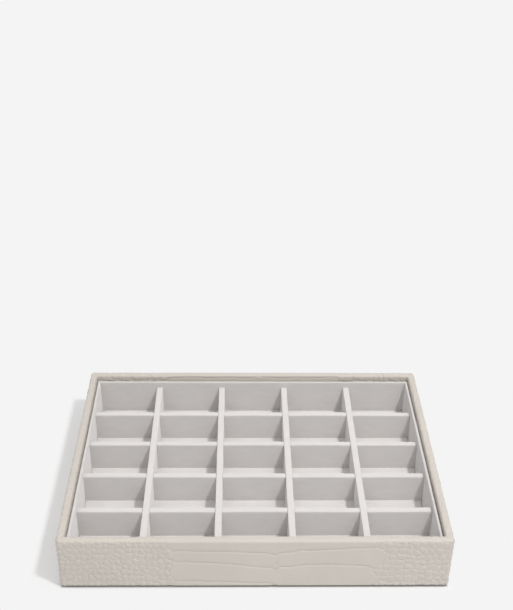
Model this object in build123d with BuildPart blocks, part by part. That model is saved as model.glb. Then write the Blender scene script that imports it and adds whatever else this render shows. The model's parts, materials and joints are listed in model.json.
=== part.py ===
from build123d import *
import os

# Compartment tray for jewellery. A case of four mitred wall boards round a base board is wrapped in one
# strip of embossed leather, lined with velvet-covered cards, and filled with a grid of velvet-covered
# dividers that are halved into each other. A raised foot under the base nests in the rim of a like tray.
# Millimetres. The origin is the centre of the foot's underside, +X right, +Y to the back, +Z up.

# Whole tray
overall_width = 250.0
overall_depth = 180.0
overall_height = 41.0

# Case
wall_board_thickness = 4.0
board_corner_radius = 1.9
board_rim_radius = 0.9
base_board_thickness = 4.0
base_rebate_depth = 2.0
base_clearance = 0.1

# Leather
leather_thickness = 0.6
leather_turn_in = 9.0
leather_turn_under = 12.0
leather_seam_gap = 0.3
leather_seam_from_corner = 24.0

# Foot
foot_height = 1.6
foot_inset = 6.0
foot_board_corner_radius = 2.5
foot_velvet_thickness = 0.5
foot_edge_share = 0.8

# Wall liners
liner_gap = 0.4
liner_below_rim = 4.7
liner_card_thickness = 1.0
liner_velvet_thickness = 0.4
liner_turn_over = 8.0
liner_top_share = 0.35
liner_joint_clearance = 0.1

# Floor pad
floor_card_thickness = 1.2
floor_foam_thickness = 1.3
floor_velvet_thickness = 0.6
floor_edge_clearance = 0.1

# Dividers
cells_across = 5
cells_deep = 5
divider_height = 21.4
divider_card_thickness = 3.2
divider_velvet_thickness = 0.6
divider_card_top_share = 0.05
divider_end_clearance = 0.1
divider_slot_clearance = 0.1
depth_divider_proud = 0.9

# One overrun serves all cuts
cut_overrun = 5.0

# Heights, from the table up
wall_bottom = foot_height
board_bottom = wall_bottom + leather_thickness
board_top = overall_height - leather_thickness
base_top = board_bottom + base_board_thickness
floor_card_top = base_top + floor_card_thickness
floor_foam_top = floor_card_top + floor_foam_thickness
floor_top = floor_foam_top + floor_velvet_thickness
slot_level = floor_top + divider_height / 2
liner_top = overall_height - liner_below_rim
liner_card_top = liner_top - liner_velvet_thickness
liner_turn_over_end = liner_top - liner_turn_over
leather_turn_in_end = overall_height - leather_turn_in

# Distances in from the outer face of the leather
board_outer_inset = leather_thickness
board_inner_inset = board_outer_inset + wall_board_thickness
base_rebate_inset = board_inner_inset - base_rebate_depth
wall_inner_inset = board_inner_inset + leather_thickness
liner_outer_inset = wall_inner_inset + liner_gap
liner_card_outer_inset = liner_outer_inset + liner_velvet_thickness
liner_card_inner_inset = liner_card_outer_inset + liner_card_thickness
liner_inner_inset = liner_card_inner_inset + liner_velvet_thickness
floor_inset = liner_inner_inset + floor_edge_clearance
foot_board_inset = foot_inset + foot_velvet_thickness

# Radii over the coverings
case_corner_radius = board_corner_radius + leather_thickness
rim_radius = board_rim_radius + leather_thickness
foot_corner_radius = foot_board_corner_radius + foot_velvet_thickness
foot_edge_radius = foot_velvet_thickness * foot_edge_share
liner_top_radius = (liner_inner_inset - liner_outer_inset) * liner_top_share
divider_card_top_radius = divider_card_thickness * divider_card_top_share

# Compartment grid
inner_width = overall_width - 2 * liner_inner_inset
inner_depth = overall_depth - 2 * liner_inner_inset
divider_thickness = divider_card_thickness + 2 * divider_velvet_thickness
pitch_across = (inner_width + divider_thickness) / cells_across
pitch_deep = (inner_depth + divider_thickness) / cells_deep

# The sides, each with the direction from the centre to its outer face
SIDES = {"front": (0, -1), "back": (0, 1), "left": (-1, 0), "right": (1, 0)}

os.makedirs("parts", exist_ok=True)


def save(piece, name):
    """Labels a finished piece and writes it under its name."""
    piece.label = name
    export_step(piece, f"parts/{name}.step")


def inset_size(inset):
    """Width and depth of the plan rectangle that lies inset from the outer face all round."""
    return overall_width - 2 * inset, overall_depth - 2 * inset


def top_edges(part):
    """The edges of a part's highest level."""
    return part.edges().group_by(Axis.Z)[-1]


# Case: wall boards, mitred at the corners and rebated below for the base board


def wall_ring(outer_inset, inner_inset, bottom, top, corner_radius, edge_radius):
    """Closed frame of walls with rounded outer corners and rounded top edges."""
    with BuildPart() as ring:
        with BuildSketch(Plane.XY.offset(bottom)):
            RectangleRounded(*inset_size(outer_inset), corner_radius)
            Rectangle(*inset_size(inner_inset), mode=Mode.SUBTRACT)
        extrude(amount=top - bottom)
        fillet(top_edges(ring), edge_radius)
    return ring.part


def mitre_plan(side):
    """Plan outline that keeps one side of a frame, with its two ends cut at 45 degrees."""
    across, deep = SIDES[side]
    half_width = overall_width / 2
    half_depth = overall_depth / 2
    reach = board_inner_inset + cut_overrun
    if deep:
        outer = [(-half_width, deep * half_depth), (half_width, deep * half_depth)]
        inner_y = deep * (half_depth - reach)
        return outer + [(half_width - reach, inner_y), (-half_width + reach, inner_y)]
    outer = [(across * half_width, -half_depth), (across * half_width, half_depth)]
    inner_x = across * (half_width - reach)
    return outer + [(inner_x, half_depth - reach), (inner_x, -half_depth + reach)]


board_ring = wall_ring(
    board_outer_inset,
    board_inner_inset,
    board_bottom,
    board_top,
    board_corner_radius,
    board_rim_radius,
)

for side in SIDES:
    with BuildPart() as wall_board:
        add(board_ring)
        with BuildSketch(Plane.XY):
            with BuildLine():
                Polyline(*mitre_plan(side), close=True)
            make_face()
        extrude(amount=overall_height, mode=Mode.INTERSECT)
        with BuildSketch(Plane.XY.offset(board_bottom - cut_overrun)):
            Rectangle(*inset_size(base_rebate_inset))
        extrude(amount=cut_overrun + base_board_thickness, mode=Mode.SUBTRACT)
    save(wall_board.part, f"{side}_board")

with BuildPart() as base_board:
    with BuildSketch(Plane.XY.offset(board_bottom)):
        Rectangle(*inset_size(base_rebate_inset + base_clearance))
    extrude(amount=base_board_thickness)
save(base_board.part, "base_board")

# Leather: one strip round the walls, turned in over the rim and under the base, butted at the back

seam_x = overall_width / 2 - leather_seam_from_corner

with BuildPart() as leather_wrap:
    add(
        wall_ring(
            0, wall_inner_inset, wall_bottom, overall_height, case_corner_radius, rim_radius
        )
    )
    with BuildSketch(Plane.XY.offset(wall_bottom)):
        Rectangle(*inset_size(board_inner_inset))
        Rectangle(*inset_size(leather_turn_under), mode=Mode.SUBTRACT)
    extrude(amount=leather_thickness)
    add(board_ring, mode=Mode.SUBTRACT)
    with BuildSketch(Plane.XY.offset(board_bottom)):
        Rectangle(*inset_size(board_inner_inset))
    extrude(amount=leather_turn_in_end - board_bottom, mode=Mode.SUBTRACT)
    with BuildSketch(Plane.XY):
        with Locations((seam_x, overall_depth / 2)):
            Rectangle(leather_seam_gap, 2 * (leather_turn_under + cut_overrun))
    extrude(amount=overall_height + cut_overrun, mode=Mode.SUBTRACT)
save(leather_wrap.part, "leather_wrap")

# Foot: a card that drops inside the rim of the tray below, with velvet under it and up its edges

with BuildPart() as foot_board:
    with BuildSketch(Plane.XY.offset(foot_velvet_thickness)):
        RectangleRounded(*inset_size(foot_board_inset), foot_board_corner_radius)
    extrude(amount=foot_height - foot_velvet_thickness)
save(foot_board.part, "foot_board")

with BuildPart() as foot_velvet:
    with BuildSketch(Plane.XY):
        RectangleRounded(*inset_size(foot_inset), foot_corner_radius)
    extrude(amount=foot_height)
    fillet(foot_velvet.edges().group_by(Axis.Z)[0], foot_edge_radius)
    add(foot_board.part, mode=Mode.SUBTRACT)
save(foot_velvet.part, "foot_velvet")

# Wall liners: a card with velvet on its inner face, over its top edge and a little way down its back.
# The front and back liners run the full width, and the side liners stand between them.


def liner_block(side, outer_inset, inner_inset, bottom, top):
    """Upright slab on one side, between two insets and two heights."""
    across, deep = SIDES[side]
    thickness = inner_inset - outer_inset
    middle = (outer_inset + inner_inset) / 2
    if deep:
        length = overall_width - 2 * liner_outer_inset
        centre = (0, deep * (overall_depth / 2 - middle))
        size = (length, thickness)
    else:
        length = overall_depth - 2 * (liner_inner_inset + liner_joint_clearance)
        centre = (across * (overall_width / 2 - middle), 0)
        size = (thickness, length)
    with BuildPart() as slab:
        with BuildSketch(Plane.XY.offset(bottom)):
            with Locations(centre):
                Rectangle(*size)
        extrude(amount=top - bottom)
    return slab.part


for side, (across, deep) in SIDES.items():
    along = Axis.X if deep else Axis.Y
    card = liner_block(side, liner_card_outer_inset, liner_card_inner_inset, base_top, liner_card_top)
    bare_back = liner_block(
        side, liner_outer_inset, liner_card_outer_inset, base_top, liner_turn_over_end
    )
    with BuildPart() as liner_velvet:
        add(liner_block(side, liner_outer_inset, liner_inner_inset, base_top, liner_top))
        fillet(top_edges(liner_velvet).filter_by(along), liner_top_radius)
        add(card, mode=Mode.SUBTRACT)
        add(bare_back, mode=Mode.SUBTRACT)
    save(card, f"{side}_liner_card")
    save(liner_velvet.part, f"{side}_liner_velvet")

# Floor pad: a card and a sheet of foam, with velvet over them and down their edges

floor_core_size = inset_size(floor_inset + floor_velvet_thickness)

with BuildPart() as floor_card:
    with BuildSketch(Plane.XY.offset(base_top)):
        Rectangle(*floor_core_size)
    extrude(amount=floor_card_thickness)
save(floor_card.part, "floor_card")

with BuildPart() as floor_foam:
    with BuildSketch(Plane.XY.offset(floor_card_top)):
        Rectangle(*floor_core_size)
    extrude(amount=floor_foam_thickness)
save(floor_foam.part, "floor_foam")

with BuildPart() as floor_velvet:
    with BuildSketch(Plane.XY.offset(base_top)):
        Rectangle(*inset_size(floor_inset))
    extrude(amount=floor_top - base_top)
    with BuildSketch(Plane.XY.offset(base_top)):
        Rectangle(*floor_core_size)
    extrude(amount=floor_foam_top - base_top, mode=Mode.SUBTRACT)
save(floor_velvet.part, "floor_velvet")

# Dividers: a card in a velvet sleeve that is open below. The front-to-back dividers are slotted from
# below and their tops run through; the side-to-side dividers are slotted from above.


def divider_block(length, height, skin, top_radius):
    """Upright slab along X on the floor, drawn in by skin at its sides, ends and top."""
    with BuildPart() as slab:
        with BuildSketch(Plane.XY.offset(floor_top)):
            Rectangle(length - 2 * skin, divider_thickness - 2 * skin)
        extrude(amount=height - skin)
        fillet(top_edges(slab), top_radius)
    return slab.part


def slots(count, pitch, bottom, top):
    """The row of upright slots that the crossing dividers pass through."""
    with BuildPart() as cutters:
        with BuildSketch(Plane.XY.offset(bottom)):
            with GridLocations(pitch, 0, count, 1):
                Rectangle(divider_thickness + 2 * divider_slot_clearance, divider_thickness + cut_overrun)
        extrude(amount=top - bottom)
    return cutters.part


def divider_pieces(length, height, cutters):
    """The slotted card and velvet sleeve of one divider, centred and lying along X."""
    core = divider_block(length, height, divider_velvet_thickness, divider_card_top_radius)
    cover_radius = divider_card_top_radius + divider_velvet_thickness
    with BuildPart() as card:
        add(core)
        add(cutters, mode=Mode.SUBTRACT)
    with BuildPart() as sleeve:
        add(divider_block(length, height, 0, cover_radius))
        add(core, mode=Mode.SUBTRACT)
        add(cutters, mode=Mode.SUBTRACT)
    return {"card": card.part, "velvet": sleeve.part}


width_divider = divider_pieces(
    inner_width - 2 * divider_end_clearance,
    divider_height,
    slots(cells_across - 1, pitch_across, slot_level - divider_slot_clearance / 2, overall_height),
)
depth_divider = divider_pieces(
    inner_depth - 2 * divider_end_clearance,
    divider_height + depth_divider_proud,
    slots(
        cells_deep - 1, pitch_deep, floor_top - cut_overrun, slot_level + divider_slot_clearance / 2
    ),
)

for layer in ("card", "velvet"):
    for number in range(1, cells_deep):
        shift_y = (number - cells_deep / 2) * pitch_deep
        placed = Pos(0, shift_y, 0) * width_divider[layer]
        save(placed, f"width_divider_{number}_{layer}")
    for number in range(1, cells_across):
        shift_x = (number - cells_across / 2) * pitch_across
        placed = Pos(shift_x, 0, 0) * Rot(0, 0, 90) * depth_divider[layer]
        save(placed, f"depth_divider_{number}_{layer}")
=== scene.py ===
import json
import math

import bmesh
import bpy
import numpy as np
from mathutils import Matrix, Vector


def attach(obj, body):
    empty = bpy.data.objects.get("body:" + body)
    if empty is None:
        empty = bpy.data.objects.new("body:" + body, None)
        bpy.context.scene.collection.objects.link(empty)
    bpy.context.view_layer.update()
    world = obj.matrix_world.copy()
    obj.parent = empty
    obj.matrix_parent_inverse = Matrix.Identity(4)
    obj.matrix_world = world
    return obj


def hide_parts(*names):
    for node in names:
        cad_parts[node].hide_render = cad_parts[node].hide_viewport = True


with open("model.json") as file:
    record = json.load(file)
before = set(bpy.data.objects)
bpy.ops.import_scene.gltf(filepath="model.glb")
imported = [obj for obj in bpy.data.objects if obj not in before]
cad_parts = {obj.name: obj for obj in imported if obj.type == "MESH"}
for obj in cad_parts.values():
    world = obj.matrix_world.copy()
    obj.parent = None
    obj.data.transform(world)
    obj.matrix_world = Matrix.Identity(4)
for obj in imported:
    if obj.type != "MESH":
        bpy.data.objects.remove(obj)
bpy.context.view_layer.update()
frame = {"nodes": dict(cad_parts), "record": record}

# The looks of the tray: embossed leather, velvet over cards and a padded floor. Its lengths are in
# millimetres up to the call that makes a mesh, which turns them into metres in the CAD's frame. Lengths and
# places of the camera, the light, the table and the materials are in metres.

MM = 0.001

# Whole tray
WIDTH, DEPTH, HEIGHT = 250.0, 180.0, 41.0
WALL_BOTTOM = 1.6
BASE_TOP = 6.2
FLOOR_TOP = 9.3
LINER_TOP = 36.3

# Leather
WALL_INNER = 5.2
CASE_CORNER = 2.5
INNER_CORNER = 0.6
RIM_RADIUS = 1.5
RIM_CENTRE = HEIGHT - RIM_RADIUS
RIM_STEPS = 5
BOTTOM_EDGE = 0.8
BOTTOM_STEPS = 4
TURN_IN_END = 32.0
TURN_UNDER = 12.0
LEATHER_BODY = 0.58
SEAM_X = 101.0
SEAM_GAP = 0.04
FRONT_STEP = 0.4
SIDE_STEP = 0.6
UP_STEP = 0.42
CORNER_STEPS = 9

# Where the leather hides behind the liners and under the case, and its back, it has longer steps
FINE_START = LINER_TOP - 1
HIDDEN_STEP = 1.4
BACK_STEP_UNDER = 4
BACK_STEP_UP = 6
BACK_RIM_STEPS = 3

# Layout of the long leather strip for baking
BAKE_BANDS = 3
BAKE_MARGIN = 4
BAKE_BORDER = 1
BAKE_BACK_SHARE = 0.2

# Foot
FOOT_INSET = 6.0
FOOT_CORNER = 3.0
FOOT_INNER_CORNER = 0.3
FOOT_EDGE = 0.4
FOOT_EDGE_STEPS = 4
FOOT_RISE_STEP = 0.4
FOOT_STEP = 4
FOOT_COVER = 80
FOOT_RIPPLE, FOOT_RIPPLE_CELL = 0.05, 11.0

# Liners
LINER_OUTER = 5.6
LINER_INNER = 7.4
LINER_EDGE = 0.63
LINER_EDGE_STEPS = 4
LINER_TOP_STEP = 0.3
LINER_TURN_OVER_END = 28.5
LINER_JOINT = 0.1
# The velvet is flat at the base, and has its full wave this far above the floor
LINER_WAVE_RISE = 3

# Dividers
DIVIDER_THICKNESS = 4.4
DIVIDER_HEIGHT = 21.4
DIVIDER_PROUD = 0.9
DIVIDER_EDGE = 0.6
DIVIDER_EDGE_STEPS = 5
DIVIDER_TOP_STEP = 0.4
SLOT_HALF = DIVIDER_THICKNESS / 2 + 0.1
SLOT_LEVEL = FLOOR_TOP + DIVIDER_HEIGHT / 2
CELLS = 5
INNER_WIDTH = WIDTH - 2 * LINER_INNER
INNER_DEPTH = DEPTH - 2 * LINER_INNER
PITCH_X = (INNER_WIDTH + DIVIDER_THICKNESS) / CELLS
PITCH_Y = (INNER_DEPTH + DIVIDER_THICKNESS) / CELLS
END_GAP = 0.1

# Velvet: its pile, and the height and cell of each layer of its unevenness
PILE = 0.35
VELVET_STEP = 1.2
VELVET_WAVES = [(0.09, 17.0), (0.035, 4.3)]
# A divider's velvet lies tight at its slots and is loose from this distance on. Its crest sags between
# them and is tucked in at them.
LOOSE_REACH = 4
CREST_DEPTH = 2.5
SAG, SAG_CELL = 0.16, 23.0
TUCK, TUCK_REACH = 0.22, 1.3
# The floor's pad swells in the middle of each cell, and takes this share of the velvet's wave there
SWELL, SWELL_REACH = 0.3, 1.8
SWELL_WAVE_SHARE = 0.5

# Seeds
SCALE_SEED = 11
LINER_SEED, SEEDS_PER_LINER = 30, 2
FLOOR_SEED = 70
FOOT_SEED = 90
DIVIDER_SEEDS, SEEDS_PER_DIVIDER = {"width": 100, "depth": 150}, 10
SAG_SEED = 5

# The photograph's frame and the solved camera
FRAME_HEIGHT_PX = 610
FOCAL_PX = 997.0
SENSOR_MM = 36.0
CAMERA_PLACE = (-0.00995, -0.5384, 0.4954)
CAMERA_PITCH = math.radians(32.02)
CAMERA_YAW = math.radians(1.098)
CAMERA_ROLL = math.radians(0.72)

# Light: the key lamp, and the sky's level at the horizon, its rise overhead and its extra rise in front
KEY_PLACE = (0.319, -0.342, 0.975)
KEY_SIZE = 0.08
KEY_POWER = 4.05
SKY_LOW, SKY_RISE, SKY_FRONT = 0.08, 0.925, 0.30
BACKGROUND = 0.905

# Table: painted darker in the gap under the walls (painted contact shade), a little evened in the tray's
# shadow, and wholly outside it
TABLE_SIZE = 20
TABLE_COLOUR = 0.94
# Painted shade: the table's colour under the tray's walls, fading over the next length to the table's own
# colour at the tray's edge
CONTACT_PAINTED_SHADE = 0.58
PAINTED_SHADE_EDGE = 0.0006
SHADOW_SOFTENING = 0.22
SOFTENING_START = 0.004
SHADOW_EDGE = 0.001
EVENING = 0.0015

# Colours
LEATHER_COLOUR = (0.664, 0.615, 0.558)
VELVET_COLOUR = (0.762, 0.740, 0.727)
# The floor's velvet is the same velvet with a lighter colour: painted light for the brighter look of its
# upward-facing nap
FLOOR_VELVET_PAINTED_LIGHT_COLOUR = (0.815, 0.793, 0.779)
FOOT_VELVET_COLOUR = (0.62, 0.60, 0.585)
BOARD_COLOUR = (0.40, 0.27, 0.16)
CARD_COLOUR = (0.38, 0.36, 0.33)
FOAM_COLOUR = (0.85, 0.85, 0.82)
NAP_STRETCH = (1, 1.5, 2.6)
# The range that a noise node mostly stays in
NOISE_LOW, NOISE_HIGH = 0.3, 0.7


def make_camera():
    """The camera of the photograph, solved from the tray's edges."""
    level = math.cos(CAMERA_PITCH)
    forward = Vector(
        (math.sin(CAMERA_YAW) * level, math.cos(CAMERA_YAW) * level, -math.sin(CAMERA_PITCH))
    )
    level_right = Vector((math.cos(CAMERA_YAW), -math.sin(CAMERA_YAW), 0.0))
    level_up = level_right.cross(forward)
    right = math.cos(CAMERA_ROLL) * level_right + math.sin(CAMERA_ROLL) * level_up
    up = math.cos(CAMERA_ROLL) * level_up - math.sin(CAMERA_ROLL) * level_right
    data = bpy.data.cameras.new("camera")
    data.sensor_width = SENSOR_MM
    data.lens = FOCAL_PX * SENSOR_MM / FRAME_HEIGHT_PX
    camera = bpy.data.objects.new("camera", data)
    camera.matrix_world = Matrix((right, up, -forward)).transposed().to_4x4()
    camera.location = CAMERA_PLACE
    bpy.context.scene.collection.objects.link(camera)
    bpy.context.scene.camera = camera


# Noise and paths

NOISE_TABLE = 61


def smooth_noise(x, y, cell, seed):
    """Soft noise from -1 to 1 with features of one cell, the same on every run."""
    table = np.random.default_rng(seed).uniform(-1, 1, (NOISE_TABLE, NOISE_TABLE))
    u, v = x / cell, y / cell
    i, j = np.floor(u).astype(int), np.floor(v).astype(int)
    fu, fv = u - i, v - j
    fu, fv = fu * fu * (3 - 2 * fu), fv * fv * (3 - 2 * fv)
    i0, i1 = i % NOISE_TABLE, (i + 1) % NOISE_TABLE
    j0, j1 = j % NOISE_TABLE, (j + 1) % NOISE_TABLE
    near = table[i0, j0] * (1 - fu) + table[i1, j0] * fu
    far = table[i0, j1] * (1 - fu) + table[i1, j1] * fu
    return near * (1 - fv) + far * fv


def layered_noise(x, y, layers):
    """The sum of layers of noise, each given as its height, cell and seed."""
    return sum(height * smooth_noise(x, y, cell, seed) for height, cell, seed in layers)


def run(start, end, step):
    """Evenly spaced points from start up to, but not at, the end."""
    start, end = np.array(start, float), np.array(end, float)
    count = max(1, round(float(np.linalg.norm(end - start)) / step))
    return start + (end - start) * (np.arange(count) / count)[:, None]


def bend(centre, radius, start, end, steps):
    """Points on an arc from start up to, but not at, the end, in degrees."""
    angle = np.radians(start + (end - start) * np.arange(steps) / steps)
    return np.array(centre, float) + radius * np.column_stack((np.cos(angle), np.sin(angle)))


def path_normals(path):
    """Unit normals to the right of a path."""
    along = np.gradient(path, axis=0)
    normal = np.column_stack((along[:, 1], -along[:, 0]))
    return normal / np.linalg.norm(normal, axis=1)[:, None]


def path_lengths(path):
    """Distance along a path to each of its points."""
    return np.concatenate(([0.0], np.cumsum(np.linalg.norm(np.diff(path, axis=0), axis=1))))


# Meshes from grids of points


def grid_object(name, points, keep=None, wrap_rows=False, wrap_columns=False):
    """A smooth-shaded mesh of quads over points[column, row]."""
    columns, rows = points.shape[:2]
    index = np.arange(columns * rows).reshape(columns, rows)
    if wrap_columns:
        index = np.vstack((index, index[:1]))
    if wrap_rows:
        index = np.hstack((index, index[:, :1]))
    quads = np.stack((index[:-1, :-1], index[1:, :-1], index[1:, 1:], index[:-1, 1:]), axis=-1)
    quads = quads.reshape(-1, 4) if keep is None else quads[keep]
    mesh = bpy.data.meshes.new(name)
    mesh.vertices.add(columns * rows)
    mesh.vertices.foreach_set("co", (points.reshape(-1, 3) * MM).ravel())
    mesh.loops.add(quads.size)
    mesh.loops.foreach_set("vertex_index", quads.ravel())
    mesh.polygons.add(len(quads))
    mesh.polygons.foreach_set("loop_start", np.arange(0, quads.size, 4))
    mesh.update(calc_edges=True)
    mesh.validate()
    if keep is not None:
        trim = bmesh.new()
        trim.from_mesh(mesh)
        bmesh.ops.delete(trim, geom=[v for v in trim.verts if not v.link_faces], context="VERTS")
        trim.to_mesh(mesh)
        trim.free()
    mesh.shade_smooth()
    piece = bpy.data.objects.new(name, mesh)
    bpy.context.scene.collection.objects.link(piece)
    return piece


def thicken(piece, thickness):
    """Gives a sheet its thickness, inwards from its outer face, with crisp cut edges."""
    sheet = bmesh.new()
    sheet.from_mesh(piece.data)
    for edge in sheet.edges:
        edge.smooth = not edge.is_boundary
    sheet.to_mesh(piece.data)
    sheet.free()
    solid = piece.modifiers.new("thickness", "SOLIDIFY")
    solid.thickness = thickness * MM
    solid.offset = -1


def dress(piece, material, slot, *nodes):
    """Puts a finished piece in the place of its CAD nodes."""
    piece.data.materials.append(material)
    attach(piece, "root")
    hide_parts(*nodes)


# Plan of the case

STRAIGHT_X = WIDTH / 2 - CASE_CORNER
STRAIGHT_Y = DEPTH / 2 - CASE_CORNER
SIDE_LENGTHS = (SEAM_X + STRAIGHT_X, 2 * STRAIGHT_Y, 2 * STRAIGHT_X, 2 * STRAIGHT_Y, STRAIGHT_X - SEAM_X)
FRONT_SIDE = 2
STEP_LENGTHS = [FRONT_STEP if side == FRONT_SIDE else SIDE_STEP for side in range(len(SIDE_LENGTHS))]
SIDE_STEPS = [round(length / step) for length, step in zip(SIDE_LENGTHS, STEP_LENGTHS)]
CORNER_LENGTH = math.pi / 2 * CASE_CORNER
FRONT_MIDDLE = SIDE_LENGTHS[0] + SIDE_LENGTHS[1] + 2 * CORNER_LENGTH + STRAIGHT_X
ROUND_LENGTH = sum(SIDE_LENGTHS) + 4 * CORNER_LENGTH


def plan_ring(inset, radius, gap, seam_x=SEAM_X):
    """Points and outward directions round the plan, from the back seam over the left side and the front."""
    x, y = WIDTH / 2 - inset - radius, DEPTH / 2 - inset - radius
    far_x, far_y = x + radius, y + radius
    straights = [
        ((seam_x - gap / 2, far_y), (-x, far_y)),
        ((-far_x, y), (-far_x, -y)),
        ((-x, -far_y), (x, -far_y)),
        ((far_x, -y), (far_x, y)),
        ((x, far_y), (seam_x + gap / 2, far_y)),
    ]
    centres = [(-x, y), (-x, -y), (x, -y), (x, y)]
    points, outward = [], []
    for side, (start, end) in enumerate(straights):
        count = SIDE_STEPS[side]
        share = (np.arange(count) / count)[:, None]
        start, end = np.array(start), np.array(end)
        points.append(start + (end - start) * share)
        facing = 90 * (side + 1)
        direction = (math.cos(math.radians(facing)), math.sin(math.radians(facing)))
        outward.append(np.tile(direction, (count, 1)))
        if side < len(centres):
            points.append(bend(centres[side], radius, facing, facing + 90, CORNER_STEPS))
            outward.append(bend((0, 0), 1, facing, facing + 90, CORNER_STEPS))
    points.append([straights[-1][1]])
    outward.append([(0, 1)])
    return np.vstack(points), np.vstack(outward)


# Emboss: broad belly tiles among small flank scales. Each tile has its row, and a spine whose points are
# (along, up, half width). Up is measured on the strip, from the bottom of the wall.

FRONT_TILES = [
    (1, [(-47, 40.1, 8.7), (-20, 39.9, 9.4), (0, 38.6, 9.6), (20, 39.2, 9.4)]),
    (1, [(34, 40.6, 9.2), (46, 40.8, 8.5), (72, 41.7, 8.0)]),
    (2, [(-47, 26.5, 4.9), (-27, 25.5, 5.2), (-1, 23.1, 5.9), (6, 22.8, 6.1)]),
    (2, [(21, 23.3, 6.7), (34, 25.0, 6.2), (49, 25.5, 7.0), (74, 25.7, 8.0)]),
    (3, [(-46, 13.0, 8.7), (-27, 12.0, 8.3), (-1, 10.0, 7.2), (7, 9.5, 7.0)]),
    (3, [(20, 5.6, 10.9), (35, 5.8, 13.1), (50, 6.2, 12.3), (66, 7.5, 10.4)]),
    (4, [(-46, -4.9, 9.2), (-27, -5.2, 8.8), (-8, -5.9, 8.8), (10, -6.0, 8.4)]),
]
BACK_TILES = [
    (5, [(-62, 3.0, 7.0), (-20, 4.0, 7.4), (8, 3.6, 7.0)]),
    (5, [(24, 3.4, 7.0), (58, 2.6, 6.6)]),
    (6, [(-66, 17.0, 6.2), (-30, 18.2, 6.0), (-12, 17.6, 6.4)]),
    (6, [(4, 17.4, 6.6), (30, 16.6, 6.6), (64, 17.0, 6.0)]),
    (7, [(-62, 29.4, 5.6), (-24, 30.0, 5.4), (14, 29.6, 5.8)]),
    (7, [(30, 29.4, 5.8), (60, 29.2, 5.4)]),
    (8, [(-64, 40.0, 4.6), (-34, 40.6, 4.8), (-4, 40.2, 4.6)]),
    (8, [(10, 40.2, 4.6), (40, 40.8, 4.8), (62, 40.0, 4.4)]),
    (9, [(-60, 49.4, 4.6), (0, 50.0, 4.6), (60, 49.4, 4.6)]),
]
# A belly tile's row is 1 or more
FLANK_ROW = 0

# Distance round the case, and the spacing of the flank scales there
SCALE_SPACING = [
    (0, 5.6), (90, 6.0), (190, 5.4), (226, 4.4), (320, 4.2), (404, 3.5),
    (440, 3.6), (478, 4.4), (612, 4.8), (650, 4.8), (700, 4.6), (790, 4.6), (856, 5.4),
]
COUNT_MARGIN, COUNT_STEP = 20.0, 1.0
SCALE_ROW = 4.8
SCALE_LOW = -20.0
SCALE_ROWS = 17
SCALE_OFFSET = 0.2
SCALE_JITTER = 0.28
SCALE_CLEAR = 1.3
SCALE_SIZE, SCALE_SIZE_SPREAD = 1.8, 0.35
# The columns and rows of scales in which a point looks for the nearest ones
COLUMNS_ABOUT, ROWS_ABOUT = range(-3, 3), range(-2, 3)
FAR_AWAY = 1e3

# Depth and width of the grooves (a joint lies between tiles of one row), and height and width of the domes
# between them
TILE_GROOVE, TILE_GROOVE_WIDTH = 0.38, 0.74
SCALE_GROOVE, SCALE_GROOVE_WIDTH = 0.195, 0.40
JOINT_GROOVE = 0.06
TILE_DOME, TILE_DOME_WIDTH = 0.09, 1.6
SCALE_DOME, SCALE_DOME_WIDTH = 0.12, 0.9
SCALE_LEAN = 0.07
SCALE_LEAN_ALONG = 0.045
LEAN_LIMIT = 2.2
EMBOSS_MEAN = 0.05
EMBOSS_LIMIT = 0.53

# Layers of noise, as (height, cell, seed): what bends the grooves, and the grain of the scales' faces
WARP_ALONG = [(0.45, 9.0, 3), (0.25, 3.6, 4)]
WARP_UP = [(0.40, 10.0, 5), (0.25, 3.8, 6)]
FACE_GRAIN = [(0.02, 5.0, 7), (0.012, 1.9, 8)]

# Tall, slanted scales high at the right end of the front: place from the middle of the front, and spread
SLANT_PLACE, SLANT_SPREAD = (110, 33), (13, 8)
SLANT, SLANT_STRETCH = 0.55, 0.35

# Height up the strip, and how strongly the emboss stands there
EMBOSS_GAIN = [
    (-13, 0.4), (-1, 0.5), (1.5, 1.3), (36, 1.3), (39, 1.1), (40.5, 1.0), (45, 1.0), (46.5, 1.3), (53, 1.3),
]


def tile_reach(s, t, tile):
    """Distance from a tile's spine, less its half width there."""
    best = np.full(np.shape(s), np.inf)
    for (s0, t0, w0), (s1, t1, w1) in zip(tile, tile[1:]):
        ds, dt = s1 - s0, t1 - t0
        share = np.clip(((s - s0) * ds + (t - t0) * dt) / (ds * ds + dt * dt), 0, 1)
        away = np.hypot(s - s0 - share * ds, t - t0 - share * dt)
        best = np.minimum(best, away - (w0 + share * (w1 - w0)))
    return best


def placed_tiles():
    """The belly tiles with their spines measured round the case."""
    front = [(row, [(FRONT_MIDDLE + x, t, w) for x, t, w in tile]) for row, tile in FRONT_TILES]
    back = [(row, [(SEAM_X - x, t, w) for x, t, w in tile]) for row, tile in BACK_TILES]
    return front + back


class Nearest:
    """The two nearest tiles or scales to each point, with the row of each, and the lean of the nearest."""

    def __init__(self, shape):
        self.first, self.second = np.full(shape, FAR_AWAY), np.full(shape, FAR_AWAY)
        self.first_row, self.second_row = np.full(shape, FLANK_ROW), np.full(shape, FLANK_ROW)
        self.lean = np.zeros(shape)

    def offer(self, reach, row, lean=0.0):
        nearer = reach < self.first
        between = ~nearer & (reach < self.second)
        self.second = np.where(nearer, self.first, np.where(between, reach, self.second))
        self.second_row = np.where(nearer, self.first_row, np.where(between, row, self.second_row))
        self.first = np.where(nearer, reach, self.first)
        self.first_row = np.where(nearer, row, self.first_row)
        self.lean = np.where(nearer, lean, self.lean)


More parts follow.
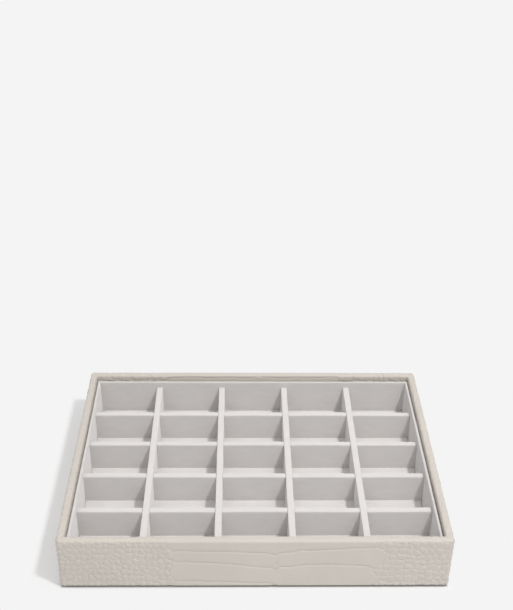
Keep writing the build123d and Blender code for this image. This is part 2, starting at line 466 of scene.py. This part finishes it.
class FlankScales:
    """Seeds of the flank scales, in offset rows, dropped where a tile lies."""

    def __init__(self, tiles):
        station, spacing = (np.array(v, float) for v in zip(*SCALE_SPACING))
        self.along = np.arange(-COUNT_MARGIN, ROUND_LENGTH + COUNT_MARGIN, COUNT_STEP)
        self.count = np.cumsum(COUNT_STEP / np.interp(self.along, station, spacing))
        self.columns = int(self.count[-1]) + 1
        draw = np.random.default_rng(SCALE_SEED)
        row, column = np.meshgrid(np.arange(SCALE_ROWS), np.arange(self.columns))
        shift = SCALE_OFFSET * (row % 2) + draw.uniform(-SCALE_JITTER, SCALE_JITTER, row.shape)
        rise = draw.uniform(-SCALE_JITTER, SCALE_JITTER, row.shape)
        self.s = np.interp(column + 0.5 + shift, self.count, self.along)
        self.t = SCALE_LOW + SCALE_ROW * (row + 0.5 + rise)
        self.extra = draw.uniform(-SCALE_SIZE_SPREAD, SCALE_SIZE_SPREAD, row.shape)
        self.clear = np.min([tile_reach(self.s, self.t, tile) for _, tile in tiles], axis=0) > SCALE_CLEAR

    def offer_to(self, nearest, s, t):
        """Offers each point the scales about it."""
        near_column = np.floor(np.interp(s, self.along, self.count)).astype(int)
        near_row = np.floor((t - SCALE_LOW) / SCALE_ROW).astype(int)
        for over in COLUMNS_ABOUT:
            for up in ROWS_ABOUT:
                i = np.clip(near_column + over, 0, self.columns - 1)
                j = np.clip(near_row + up, 0, SCALE_ROWS - 1)
                off_s, off_t = s - self.s[i, j], t - self.t[i, j]
                reach = np.hypot(off_s, off_t) - SCALE_SIZE - self.extra[i, j]
                lean = SCALE_LEAN * off_t + SCALE_LEAN_ALONG * off_s
                nearest.offer(np.where(self.clear[i, j], reach, FAR_AWAY), FLANK_ROW, lean)


def warped(s, t):
    """The grain's own coordinates: bent by noise, and slanted at one end of the front."""
    from_slant_s, from_slant_t = s - FRONT_MIDDLE - SLANT_PLACE[0], t - SLANT_PLACE[1]
    slanted = np.exp(-((from_slant_s / SLANT_SPREAD[0]) ** 2) - (from_slant_t / SLANT_SPREAD[1]) ** 2)
    along = s + layered_noise(s, t, WARP_ALONG) + SLANT * slanted * from_slant_t
    up = t + layered_noise(s, t, WARP_UP) - SLANT_STRETCH * slanted * from_slant_t
    return along, up


def dome(edge, height, width):
    """Height of a domed face at a distance from its edge."""
    return height * (1 - np.exp(-edge / width))


def emboss(s, t):
    """Height of the embossed grain, s round the case and t up it."""
    along, up = warped(s, t)
    tiles = placed_tiles()
    nearest = Nearest(s.shape)
    for belly_row, tile in tiles:
        nearest.offer(tile_reach(along, up, tile), belly_row)
    FlankScales(tiles).offer_to(nearest, along, up)
    edge = np.clip(nearest.second - nearest.first, 0, None) / 2
    in_tile = nearest.first_row > FLANK_ROW
    between_tiles = in_tile & (nearest.second_row > FLANK_ROW)
    same_row = in_tile & (nearest.first_row == nearest.second_row)
    depth = np.where(between_tiles, TILE_GROOVE, SCALE_GROOVE)
    depth = np.where(same_row, JOINT_GROOVE, depth)
    width = np.where(between_tiles, TILE_GROOVE_WIDTH, SCALE_GROOVE_WIDTH)
    domes = np.where(
        in_tile, dome(edge, TILE_DOME, TILE_DOME_WIDTH), dome(edge, SCALE_DOME, SCALE_DOME_WIDTH)
    )
    lean = np.clip(nearest.lean, -SCALE_LEAN * LEAN_LIMIT, SCALE_LEAN * LEAN_LIMIT)
    groove = depth * np.exp(-((edge / width) ** 2))
    return domes + lean - groove + layered_noise(s, t, FACE_GRAIN) - EMBOSS_MEAN


# Leather wrap


def leather_profile():
    """The strip's cross-section as (inset, height): its face from the turn-in over the rim and down the wall,
    its face under the case, and its back."""
    under, face_end, body = WALL_BOTTOM, WALL_BOTTOM + BOTTOM_EDGE, LEATHER_BODY
    inner = WALL_INNER - RIM_RADIUS
    above = np.vstack([
        run((WALL_INNER, TURN_IN_END), (WALL_INNER, FINE_START), HIDDEN_STEP),
        run((WALL_INNER, FINE_START), (WALL_INNER, RIM_CENTRE), UP_STEP),
        bend((inner, RIM_CENTRE), RIM_RADIUS, 0, 90, RIM_STEPS),
        run((inner, HEIGHT), (RIM_RADIUS, HEIGHT), UP_STEP),
        bend((RIM_RADIUS, RIM_CENTRE), RIM_RADIUS, 90, 180, RIM_STEPS),
        run((0, RIM_CENTRE), (0, face_end), UP_STEP),
    ])
    below = np.vstack([
        bend((BOTTOM_EDGE, face_end), BOTTOM_EDGE, 180, 270, BOTTOM_STEPS),
        run((BOTTOM_EDGE, under), (TURN_UNDER, under), HIDDEN_STEP),
        [(TURN_UNDER, under)],
    ])
    back = np.vstack([
        run((TURN_UNDER, under + body), (BOTTOM_EDGE, under + body), BACK_STEP_UNDER),
        run((body, face_end), (body, RIM_CENTRE), BACK_STEP_UP),
        bend((RIM_RADIUS, RIM_CENTRE), RIM_RADIUS - body, 180, 90, BACK_RIM_STEPS),
        bend((inner, RIM_CENTRE), RIM_RADIUS - body, 90, 0, BACK_RIM_STEPS),
        [(WALL_INNER - body, RIM_CENTRE), (WALL_INNER - body, TURN_IN_END)],
    ])
    return above, below, back


def make_leather(material):
    """One strip round the case, its face embossed, its ends butted at the back."""
    above, below, back = leather_profile()
    face = np.vstack([above, below])
    loop = np.vstack([face, back])
    lengths = path_lengths(face)
    up = lengths[len(above)] + BOTTOM_EDGE - lengths
    round_case = path_lengths(plan_ring(0, CASE_CORNER, SEAM_GAP)[0])
    s, t = np.meshgrid(round_case, up, indexing="ij")
    gain = np.interp(up, *zip(*EMBOSS_GAIN))
    height = np.maximum(emboss(s, t) * gain, -EMBOSS_LIMIT)
    normal = path_normals(face)
    points = np.empty((len(round_case), len(loop), 3))
    for row, (inset, level) in enumerate(loop):
        plan, outward = plan_ring(inset, max(CASE_CORNER - inset, INNER_CORNER), SEAM_GAP)
        points[:, row, :2], points[:, row, 2] = plan, level
        if row < len(face):
            inward, upward = normal[row]
            points[:, row, :2] -= outward * (inward * height[:, row])[:, None]
            points[:, row, 2] += upward * height[:, row]
    piece = grid_object("leather", points, wrap_rows=True)
    close_ends(piece, len(loop))
    back_lengths = lengths[-1] + BAKE_BORDER + path_lengths(back) * BAKE_BACK_SHARE
    lay_out_strip(piece, round_case, np.concatenate((lengths, back_lengths)))
    dress(piece, material, "embossed_leather", "leather_wrap")


def close_ends(piece, rows):
    """Closes the first and last ring of points with a face each."""
    caps = bmesh.new()
    caps.from_mesh(piece.data)
    caps.verts.ensure_lookup_table()
    first = [caps.verts[row] for row in range(rows)]
    last = [caps.verts[len(caps.verts) - rows + row] for row in range(rows)]
    caps.faces.new(first)
    caps.faces.new(last[::-1])
    bmesh.ops.recalc_face_normals(caps, faces=caps.faces)
    caps.to_mesh(piece.data)
    caps.free()


def lay_out_strip(piece, along, across):
    """Unwraps the long strip in bands, one above the other."""
    rows, columns = len(across), len(along)
    band_columns = math.ceil((columns - 1) / BAKE_BANDS)
    band_height = across[-1] + BAKE_MARGIN
    size = max(band_height * BAKE_BANDS, along[band_columns] + BAKE_MARGIN)
    mesh = piece.data
    vertex = np.empty(len(mesh.loops), int)
    mesh.loops.foreach_get("vertex_index", vertex)
    totals = np.empty(len(mesh.polygons), int)
    mesh.polygons.foreach_get("loop_total", totals)
    face = np.repeat(np.arange(len(totals)), totals)
    column, row = vertex // rows, vertex % rows
    first_column = np.full(len(totals), columns)
    np.minimum.at(first_column, face, column)
    first_row, last_row = np.full(len(totals), rows), np.zeros(len(totals), int)
    np.minimum.at(first_row, face, row)
    np.maximum.at(last_row, face, row)
    band = np.minimum(first_column[face], columns - 2) // band_columns
    level = across[row]
    closing = (first_row == 0) & (last_row == rows - 1)
    level = np.where(closing[face] & (row == 0), across[-1] + BAKE_BORDER, level)
    u = (along[column] - along[band * band_columns] + BAKE_BORDER) / size
    v = (level + band * band_height + BAKE_BORDER) / size
    layer = mesh.uv_layers.new(name="OFBake")
    layer.data.foreach_set("uv", np.column_stack((u, v)).ravel())


# Velvet pieces


def velvet_wave(a, b, seed):
    """The slight unevenness of velvet stretched over card."""
    layers = [(height, cell, seed + layer) for layer, (height, cell) in enumerate(VELVET_WAVES)]
    return layered_noise(a, b, layers)


def make_liner(side, across, deep, seed, material):
    """Velvet over one wall card: its inner face, its rounded top and a little way down behind."""
    outer, inner, edge = LINER_OUTER, LINER_INNER, LINER_EDGE
    section = np.vstack([
        run((inner, BASE_TOP), (inner, LINER_TOP - edge), VELVET_STEP),
        bend((inner - edge, LINER_TOP - edge), edge, 0, 90, LINER_EDGE_STEPS),
        run((inner - edge, LINER_TOP), (outer + edge, LINER_TOP), LINER_TOP_STEP),
        bend((outer + edge, LINER_TOP - edge), edge, 90, 180, LINER_EDGE_STEPS),
        run((outer, LINER_TOP - edge), (outer, LINER_TURN_OVER_END), VELVET_STEP),
        [(outer, LINER_TURN_OVER_END)],
    ])
    half = WIDTH / 2 - outer if deep else DEPTH / 2 - inner - LINER_JOINT
    along = np.linspace(-half, half, round(2 * half / VELVET_STEP) + 1)
    normal = path_normals(section)
    b, z = np.meshgrid(along, path_lengths(section), indexing="ij")
    wave = velvet_wave(b, z, seed)
    wave *= np.interp(section[:, 1], (BASE_TOP, FLOOR_TOP + LINER_WAVE_RISE), (0, 1))
    inset = section[:, 0] + normal[:, 0] * wave
    points = np.empty(b.shape + (3,))
    if deep:
        points[..., 0] = -deep * b
        points[..., 1] = deep * (DEPTH / 2 - inset)
    else:
        points[..., 0] = across * (WIDTH / 2 - inset)
        points[..., 1] = across * b
    points[..., 2] = section[:, 1] + normal[:, 1] * wave
    piece = grid_object(f"{side}_liner_cloth", points[::-1])
    thicken(piece, PILE)
    dress(piece, material, "velvet", f"{side}_liner_velvet")


def divider_stations(length, pitch):
    """Stations along a divider, with one at each edge of each slot."""
    marks = [-length / 2]
    for crossing in range(1, CELLS):
        middle = (crossing - CELLS / 2) * pitch
        marks += [middle - SLOT_HALF, middle + SLOT_HALF]
    marks.append(length / 2)
    parts = [run((a,), (b,), VELVET_STEP)[:, 0] for a, b in zip(marks, marks[1:])]
    return np.concatenate(parts + [[marks[-1]]])


def divider_section(top):
    """A sleeve's cross-section as (offset, height): up one face, over the top and down the other."""
    half, edge = DIVIDER_THICKNESS / 2, DIVIDER_EDGE
    rise = np.vstack([
        run((half, FLOOR_TOP), (half, SLOT_LEVEL), VELVET_STEP),
        run((half, SLOT_LEVEL), (half, top - edge), VELVET_STEP),
        bend((half - edge, top - edge), edge, 0, 90, DIVIDER_EDGE_STEPS),
        run((half - edge, top), (0, top), DIVIDER_TOP_STEP),
    ])
    return np.vstack([rise, [(0, top)], rise[::-1] * (-1, 1)])


def make_divider(kind, number, material):
    """The velvet sleeve of one divider, open below, with its slots."""
    wide = kind == "width"
    pitch, length = (PITCH_X, INNER_WIDTH) if wide else (PITCH_Y, INNER_DEPTH)
    shift = (number - CELLS / 2) * (PITCH_Y if wide else PITCH_X)
    top = FLOOR_TOP + DIVIDER_HEIGHT + (0 if wide else DIVIDER_PROUD)
    section = divider_section(top)
    normal = path_normals(section)
    along = divider_stations(length - 2 * END_GAP, pitch)
    b, z = np.meshgrid(along, path_lengths(section), indexing="ij")
    crossings = (np.arange(1, CELLS) - CELLS / 2) * pitch
    to_slot = np.abs(np.abs(along[:, None] - crossings).min(axis=1) - SLOT_HALF)
    loose = np.clip(to_slot / LOOSE_REACH, 0, 1)[:, None]
    seed = DIVIDER_SEEDS[kind] + SEEDS_PER_DIVIDER * number
    wave = velvet_wave(b, z, seed) * loose
    crest = np.interp(section[:, 1], (top - CREST_DEPTH, top), (0, 1))
    sag = SAG * smooth_noise(b, np.zeros_like(b), SAG_CELL, seed + SAG_SEED) * loose
    tuck = TUCK * np.exp(-to_slot / TUCK_REACH)[:, None] if wide else 0
    inset = section[:, 0] + normal[:, 0] * wave
    points = np.empty(b.shape + (3,))
    points[..., 0] = b if wide else shift - inset
    points[..., 1] = shift + inset if wide else b
    points[..., 2] = section[:, 1] + normal[:, 1] * wave + crest * (sag - tuck)
    middle = (along[1:] + along[:-1]) / 2
    in_slot = np.abs(middle[:, None] - crossings).min(axis=1) < SLOT_HALF
    height = (section[1:, 1] + section[:-1, 1]) / 2
    cut = height > SLOT_LEVEL if wide else height < SLOT_LEVEL
    keep = ~(in_slot[:, None] & cut[None, :])
    piece = grid_object(f"{kind}_divider_{number}_cloth", points[:, ::-1], keep[:, ::-1])
    thicken(piece, PILE)
    dress(piece, material, "velvet", f"{kind}_divider_{number}_velvet")


def floor_swell(x, y):
    """How far the pad has swollen, from 0 at the dividers to 1 in the middle of each cell."""
    swell = 1.0
    for value, pitch in ((x, PITCH_X), (y, PITCH_Y)):
        from_middle = np.abs((value / pitch + 0.5) % 1 - 0.5) * pitch
        open_half = (pitch - DIVIDER_THICKNESS) / 2
        swell = swell * (1 - np.exp(-np.clip(open_half - from_middle, 0, None) / SWELL_REACH))
    return swell


def make_floor_cloth(material):
    """The padded floor: velvet that swells a little in the middle of each cell."""
    half_x, half_y = INNER_WIDTH / 2 - LINER_JOINT, INNER_DEPTH / 2 - LINER_JOINT
    x, y = np.meshgrid(
        np.linspace(-half_x, half_x, round(2 * half_x / VELVET_STEP) + 1),
        np.linspace(-half_y, half_y, round(2 * half_y / VELVET_STEP) + 1),
        indexing="ij",
    )
    swell = floor_swell(x, y)
    level = FLOOR_TOP + SWELL * swell + SWELL_WAVE_SHARE * velvet_wave(x, y, FLOOR_SEED) * swell
    piece = grid_object("floor_cloth", np.stack((x, y, level), axis=-1))
    skirt = bmesh.new()
    skirt.from_mesh(piece.data)
    rim = [edge for edge in skirt.edges if edge.is_boundary]
    grown = bmesh.ops.extrude_edge_only(skirt, edges=rim)["geom"]
    for vertex in (item for item in grown if isinstance(item, bmesh.types.BMVert)):
        vertex.co.z = BASE_TOP * MM
    bmesh.ops.recalc_face_normals(skirt, faces=skirt.faces)
    skirt.to_mesh(piece.data)
    skirt.free()
    thicken(piece, PILE)
    dress(piece, material, "velvet", "floor_velvet")


def make_foot_cloth(material):
    """Velvet under the foot and up its edges."""
    section = np.vstack([
        run((0, WALL_BOTTOM), (0, FOOT_EDGE), FOOT_RISE_STEP),
        bend((FOOT_EDGE, FOOT_EDGE), FOOT_EDGE, 180, 270, FOOT_EDGE_STEPS),
        run((FOOT_EDGE, 0), (FOOT_COVER, 0), FOOT_STEP),
        [(FOOT_COVER, 0)],
    ])
    rows = []
    for inset, level in section:
        radius = max(FOOT_CORNER - inset, FOOT_INNER_CORNER)
        plan = plan_ring(FOOT_INSET + inset, radius, 0, seam_x=0)[0][:-1:2]
        unevenness = np.abs(smooth_noise(plan[:, 0], plan[:, 1], FOOT_RIPPLE_CELL, FOOT_SEED))
        ripple = FOOT_RIPPLE * unevenness if level == 0 else 0
        rows.append(np.column_stack((plan, np.full(len(plan), level) + ripple)))
    piece = grid_object("foot_cloth", np.stack(rows, axis=1), wrap_columns=True)
    fill = bmesh.new()
    fill.from_mesh(piece.data)
    half_height = WALL_BOTTOM / 2 * MM
    low = [edge for edge in fill.edges if edge.is_boundary and edge.verts[0].co.z < half_height]
    bmesh.ops.contextual_create(fill, geom=low)
    bmesh.ops.recalc_face_normals(fill, faces=fill.faces)
    if max(fill.faces, key=lambda face: face.calc_area()).normal.z > 0:
        bmesh.ops.reverse_faces(fill, faces=fill.faces)
    fill.to_mesh(piece.data)
    fill.free()
    thicken(piece, PILE)
    dress(piece, material, "foot_velvet", "foot_velvet")


# Materials


def map_range(tree, source, start, end, low, high):
    """A value that goes from low to high as its source goes from start to end."""
    node = tree.nodes.new("ShaderNodeMapRange")
    node.inputs["From Min"].default_value = start
    node.inputs["From Max"].default_value = end
    node.inputs["To Min"].default_value = low
    node.inputs["To Max"].default_value = high
    tree.links.new(source, node.inputs["Value"])
    return node.outputs["Result"]


def calculate(tree, operation, first, second):
    """A maths node over two values, each a socket or a plain number."""
    node = tree.nodes.new("ShaderNodeMath")
    node.operation = operation
    for socket, value in zip(node.inputs, (first, second)):
        if isinstance(value, float):
            socket.default_value = value
        else:
            tree.links.new(value, socket)
    return node.outputs["Value"]


class Shader:
    """A material under construction: a Principled shader and the nodes that feed it."""

    def __init__(self, name, roughness):
        self.material = bpy.data.materials.new(name)
        self.material.use_nodes = True
        self.tree = self.material.node_tree
        self.surface = self.tree.nodes["Principled BSDF"]
        self.surface.inputs["Roughness"].default_value = roughness
        self.place = self.tree.nodes.new("ShaderNodeTexCoord").outputs["Object"]

    def noise(self, scale, detail, roughness=0.5, stretch=(1, 1, 1)):
        node = self.tree.nodes.new("ShaderNodeTexNoise")
        node.inputs["Scale"].default_value = scale
        node.inputs["Detail"].default_value = detail
        node.inputs["Roughness"].default_value = roughness
        squeeze = self.tree.nodes.new("ShaderNodeMapping")
        squeeze.inputs["Scale"].default_value = stretch
        self.tree.links.new(self.place, squeeze.inputs["Vector"])
        self.tree.links.new(squeeze.outputs["Vector"], node.inputs["Vector"])
        return node.outputs["Fac"]

    def colour(self, source, colour, spread):
        """Mottles the surface between a darker and a lighter shade of one colour."""
        ramp = self.tree.nodes.new("ShaderNodeValToRGB")
        for stop, sign, place in zip(ramp.color_ramp.elements, (-1, 1), (NOISE_LOW, NOISE_HIGH)):
            stop.color, stop.position = (*(c * (1 + sign * spread) for c in colour), 1), place
        self.tree.links.new(source, ramp.inputs["Fac"])
        self.tree.links.new(ramp.outputs["Color"], self.surface.inputs["Base Color"])

    def vary(self, source, socket, low, high):
        varied = map_range(self.tree, source, NOISE_LOW, NOISE_HIGH, low, high)
        self.tree.links.new(varied, self.surface.inputs[socket])

    def bump(self, source, distance, strength, under=None):
        node = self.tree.nodes.new("ShaderNodeBump")
        node.inputs["Distance"].default_value = distance
        node.inputs["Strength"].default_value = strength
        self.tree.links.new(source, node.inputs["Height"])
        if under:
            self.tree.links.new(under, node.inputs["Normal"])
        self.tree.links.new(node.outputs["Normal"], self.surface.inputs["Normal"])
        return node.outputs["Normal"]


def leather_material():
    shader = Shader("embossed leather", roughness=0.46)
    shader.colour(shader.noise(scale=38, detail=3), LEATHER_COLOUR, spread=0.02)
    shader.vary(shader.noise(scale=90, detail=2), "Roughness", low=0.42, high=0.52)
    shader.surface.inputs["Specular IOR Level"].default_value = 0.4
    pores = shader.bump(shader.noise(scale=1500, detail=2), distance=0.00006, strength=0.5)
    shader.bump(shader.noise(scale=420, detail=1), distance=0.00012, strength=0.35, under=pores)
    return shader.material


def velvet_material(name, colour):
    shader = Shader(name, roughness=0.95)
    nap = shader.noise(scale=100, detail=4, roughness=0.6, stretch=NAP_STRETCH)
    shader.colour(nap, colour, spread=0.022)
    shader.surface.inputs["Specular IOR Level"].default_value = 0.1
    shader.surface.inputs["Diffuse Roughness"].default_value = 1.0
    shader.surface.inputs["Sheen Weight"].default_value = 0.2
    shader.surface.inputs["Sheen Roughness"].default_value = 0.45
    tufts = shader.bump(shader.noise(scale=2600, detail=2, roughness=0.7), distance=0.0002, strength=0.35)
    shader.bump(shader.noise(scale=600, detail=2), distance=0.0002, strength=0.25, under=tufts)
    return shader.material


def fibre_material(name, colour, spread, scale, roughness=0.9):
    shader = Shader(name, roughness)
    shader.colour(shader.noise(scale, detail=6, roughness=0.7), colour, spread)
    shader.bump(shader.noise(scale * 2, detail=4, roughness=0.7), distance=0.0002, strength=0.4)
    return shader.material


# Table, lamp and sky


def seen_rays(tree):
    """1 for the rays that show the background: the camera's, mirrored and transmitted ones."""
    path = tree.nodes.new("ShaderNodeLightPath").outputs
    mirrored = calculate(tree, "MAXIMUM", path["Is Glossy Ray"], path["Is Transmission Ray"])
    return calculate(tree, "MAXIMUM", path["Is Camera Ray"], mirrored)


def shadow_reaches():
    """How far the tray's shadow falls on the table, away from the key lamp, along X and Y."""
    below_key = KEY_PLACE[2] / MM - HEIGHT
    reaches = []
    for place, size in zip(KEY_PLACE, (WIDTH, DEPTH)):
        reach = (abs(place) / MM + size / 2) / below_key * HEIGHT + SHADOW_EDGE / MM
        reaches.append(math.copysign(reach, -place))
    return reaches


def outside(tree, place, reaches):
    """Distance outside the tray, and outside the shadow that reaches so far along X and Y."""
    away = []
    for axis, size, reach in zip("XY", (WIDTH, DEPTH), reaches):
        from_middle = calculate(tree, "SUBTRACT", place[axis], reach / 2 * MM)
        from_middle = calculate(tree, "ABSOLUTE", from_middle, 0.0)
        away.append(calculate(tree, "SUBTRACT", from_middle, (size + abs(reach)) / 2 * MM))
    return calculate(tree, "MAXIMUM", *away)


def floor_material():
    """A pale table, seen evenly lit but for the tray's shadow and a shade painted into its colour in the gap
    under the tray's walls.
    """
    material = bpy.data.materials.new("table")
    material.use_nodes = True
    tree = material.node_tree
    surface = tree.nodes["Principled BSDF"]
    surface.inputs["Roughness"].default_value = 1.0
    surface.inputs["Specular IOR Level"].default_value = 0.0
    even = tree.nodes.new("ShaderNodeEmission")
    even.inputs["Color"].default_value = (BACKGROUND, BACKGROUND, BACKGROUND, 1)
    split = tree.nodes.new("ShaderNodeSeparateXYZ")
    tree.links.new(tree.nodes.new("ShaderNodeNewGeometry").outputs["Position"], split.inputs[0])
    from_tray = outside(tree, split.outputs, (0, 0))
    from_shadow = outside(tree, split.outputs, shadow_reaches())
    # Painted shade: the table's colour is darker under the tray's walls, deepening the contact shadow seen in
    # the gap
    colour = map_range(tree, from_tray, -PAINTED_SHADE_EDGE, 0.0, CONTACT_PAINTED_SHADE, TABLE_COLOUR)
    tree.links.new(colour, surface.inputs["Base Color"])
    softened = map_range(tree, from_tray, 0.0, SOFTENING_START, 0.0, SHADOW_SOFTENING)
    evened = map_range(tree, from_shadow, 0.0, EVENING, 0.0, 1 - SHADOW_SOFTENING)
    share = calculate(tree, "MULTIPLY", calculate(tree, "ADD", softened, evened), seen_rays(tree))
    mix = tree.nodes.new("ShaderNodeMixShader")
    tree.links.new(share, mix.inputs["Fac"])
    tree.links.new(surface.outputs["BSDF"], mix.inputs[1])
    tree.links.new(even.outputs["Emission"], mix.inputs[2])
    tree.links.new(mix.outputs["Shader"], tree.nodes["Material Output"].inputs["Surface"])
    return material


def make_table():
    bpy.ops.mesh.primitive_plane_add(size=TABLE_SIZE)
    floor = bpy.context.object
    floor.name = "table"
    floor.data.materials.append(floor_material())


def make_key():
    """One small lamp at the right front, turned to the tray."""
    data = bpy.data.lights.new("key", "AREA")
    data.shape = "DISK"
    data.size = KEY_SIZE
    data.energy = KEY_POWER
    key = bpy.data.objects.new("key", data)
    key.location = KEY_PLACE
    key.rotation_mode = "QUATERNION"
    key.rotation_quaternion = (-Vector(KEY_PLACE)).to_track_quat("-Z", "Y")
    bpy.context.scene.collection.objects.link(key)


def make_sky():
    """A sky that is brighter overhead and in front, and an even backdrop for the rays that show it."""
    world = bpy.data.worlds.new("studio")
    world.use_nodes = True
    tree = world.node_tree
    light = tree.nodes["Background"]
    direction = tree.nodes.new("ShaderNodeSeparateXYZ")
    tree.links.new(tree.nodes.new("ShaderNodeTexCoord").outputs["Generated"], direction.inputs[0])
    rise = calculate(tree, "MULTIPLY", direction.outputs["Y"], -SKY_FRONT)
    rise = calculate(tree, "ADD", rise, SKY_RISE)
    level = calculate(tree, "MULTIPLY", calculate(tree, "MAXIMUM", direction.outputs["Z"], 0.0), rise)
    tree.links.new(calculate(tree, "ADD", level, SKY_LOW), light.inputs["Color"])
    backdrop = tree.nodes.new("ShaderNodeBackground")
    backdrop.inputs["Color"].default_value = (BACKGROUND, BACKGROUND, BACKGROUND, 1)
    mix = tree.nodes.new("ShaderNodeMixShader")
    tree.links.new(seen_rays(tree), mix.inputs["Fac"])
    tree.links.new(light.outputs["Background"], mix.inputs[1])
    tree.links.new(backdrop.outputs["Background"], mix.inputs[2])
    tree.links.new(mix.outputs["Shader"], tree.nodes["World Output"].inputs["Surface"])
    bpy.context.scene.world = world
    bpy.context.scene.view_settings.view_transform = "Standard"


def dress_cad_nodes():
    """The rigid solids keep their CAD shape and get the material of their slot."""
    looks = {
        "board": fibre_material("fibreboard", BOARD_COLOUR, spread=0.18, scale=900),
        "card": fibre_material("greyboard", CARD_COLOUR, spread=0.12, scale=1200),
        "foam": fibre_material("wadding", FOAM_COLOUR, spread=0.04, scale=500),
        "velvet": velvet_material("velvet core", VELVET_COLOUR),
        "foot_velvet": velvet_material("foot velvet core", FOOT_VELVET_COLOUR),
        "embossed_leather": fibre_material(
            "leather core", LEATHER_COLOUR, spread=0.03, scale=900, roughness=0.5
        ),
    }
    for row in frame["record"]["subparts"]:
        materials = frame["nodes"][row["node"]].data.materials
        materials.clear()
        materials.append(looks[row["material_slot"]])


make_camera()
make_table()
make_key()
make_sky()
dress_cad_nodes()
make_leather(leather_material())
velvet = velvet_material("pale grey velvet", VELVET_COLOUR)
# Each side's direction across and into the depth of the tray
SIDES = {"front": (0, -1), "back": (0, 1), "left": (-1, 0), "right": (1, 0)}
for place, (side, (across, deep)) in enumerate(SIDES.items()):
    make_liner(side, across, deep, LINER_SEED + SEEDS_PER_LINER * place, velvet)
for kind in ("width", "depth"):
    for number in range(1, CELLS):
        make_divider(kind, number, velvet)
# The floor's velvet: the same velvet painted lighter, as painted light for its upward-facing nap
make_floor_cloth(velvet_material("floor velvet painted lighter", FLOOR_VELVET_PAINTED_LIGHT_COLOUR))
make_foot_cloth(velvet_material("foot velvet", FOOT_VELVET_COLOUR))
